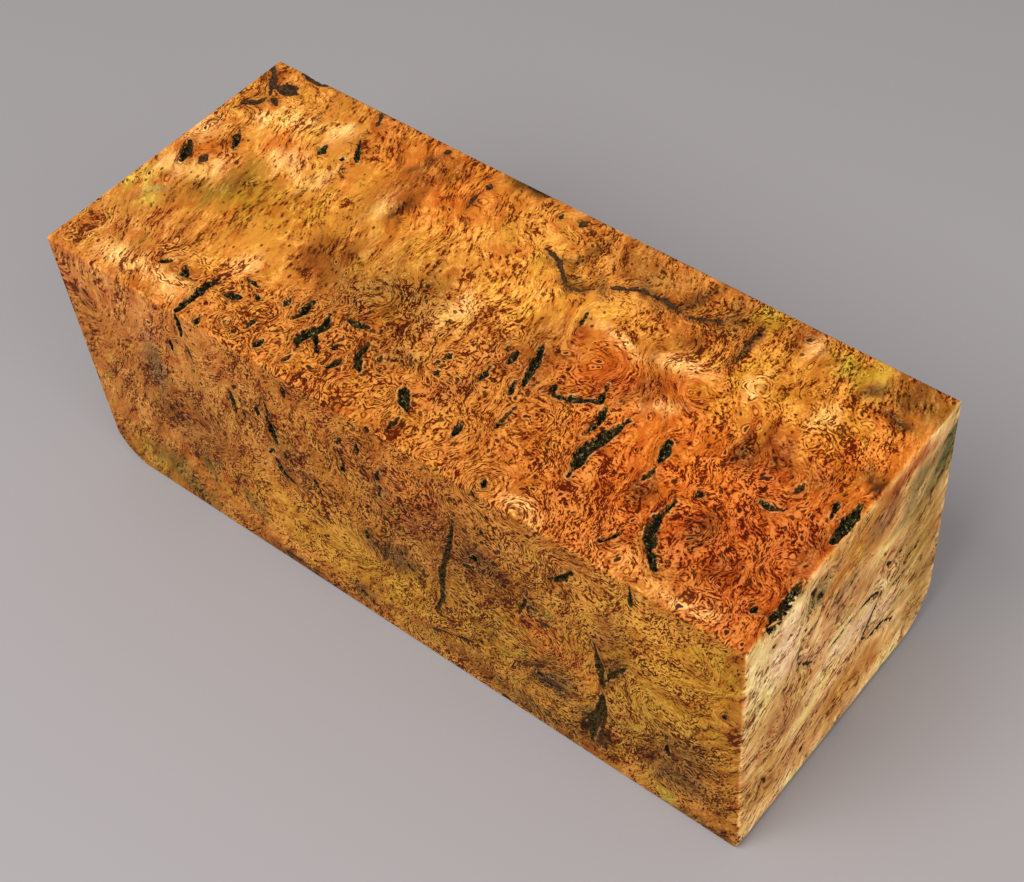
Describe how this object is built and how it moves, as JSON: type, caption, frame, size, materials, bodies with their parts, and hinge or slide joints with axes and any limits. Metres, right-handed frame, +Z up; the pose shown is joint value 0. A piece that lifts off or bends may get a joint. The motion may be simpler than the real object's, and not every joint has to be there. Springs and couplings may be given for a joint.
{
  "type": "maple burl block",
  "caption": "Solid sawn and sanded block of maple burl, a blank for turning or carving, with open bark pockets and waney lower corners.",
  "frame": {"origin": "middle of the underside's bounding rectangle, on the surface the block stands on", "axes": "+X along the block's length, towards the pale end-grain face; +Z up; the front long face looks along -Y"},
  "size_m": [0.128, 0.051, 0.05],
  "materials": {
    "burl_wood": "sanded and oiled, satin"
  },
  "bodies": {
    "root": {"burl_block": "burl_wood"}
  },
  "joints": []
}
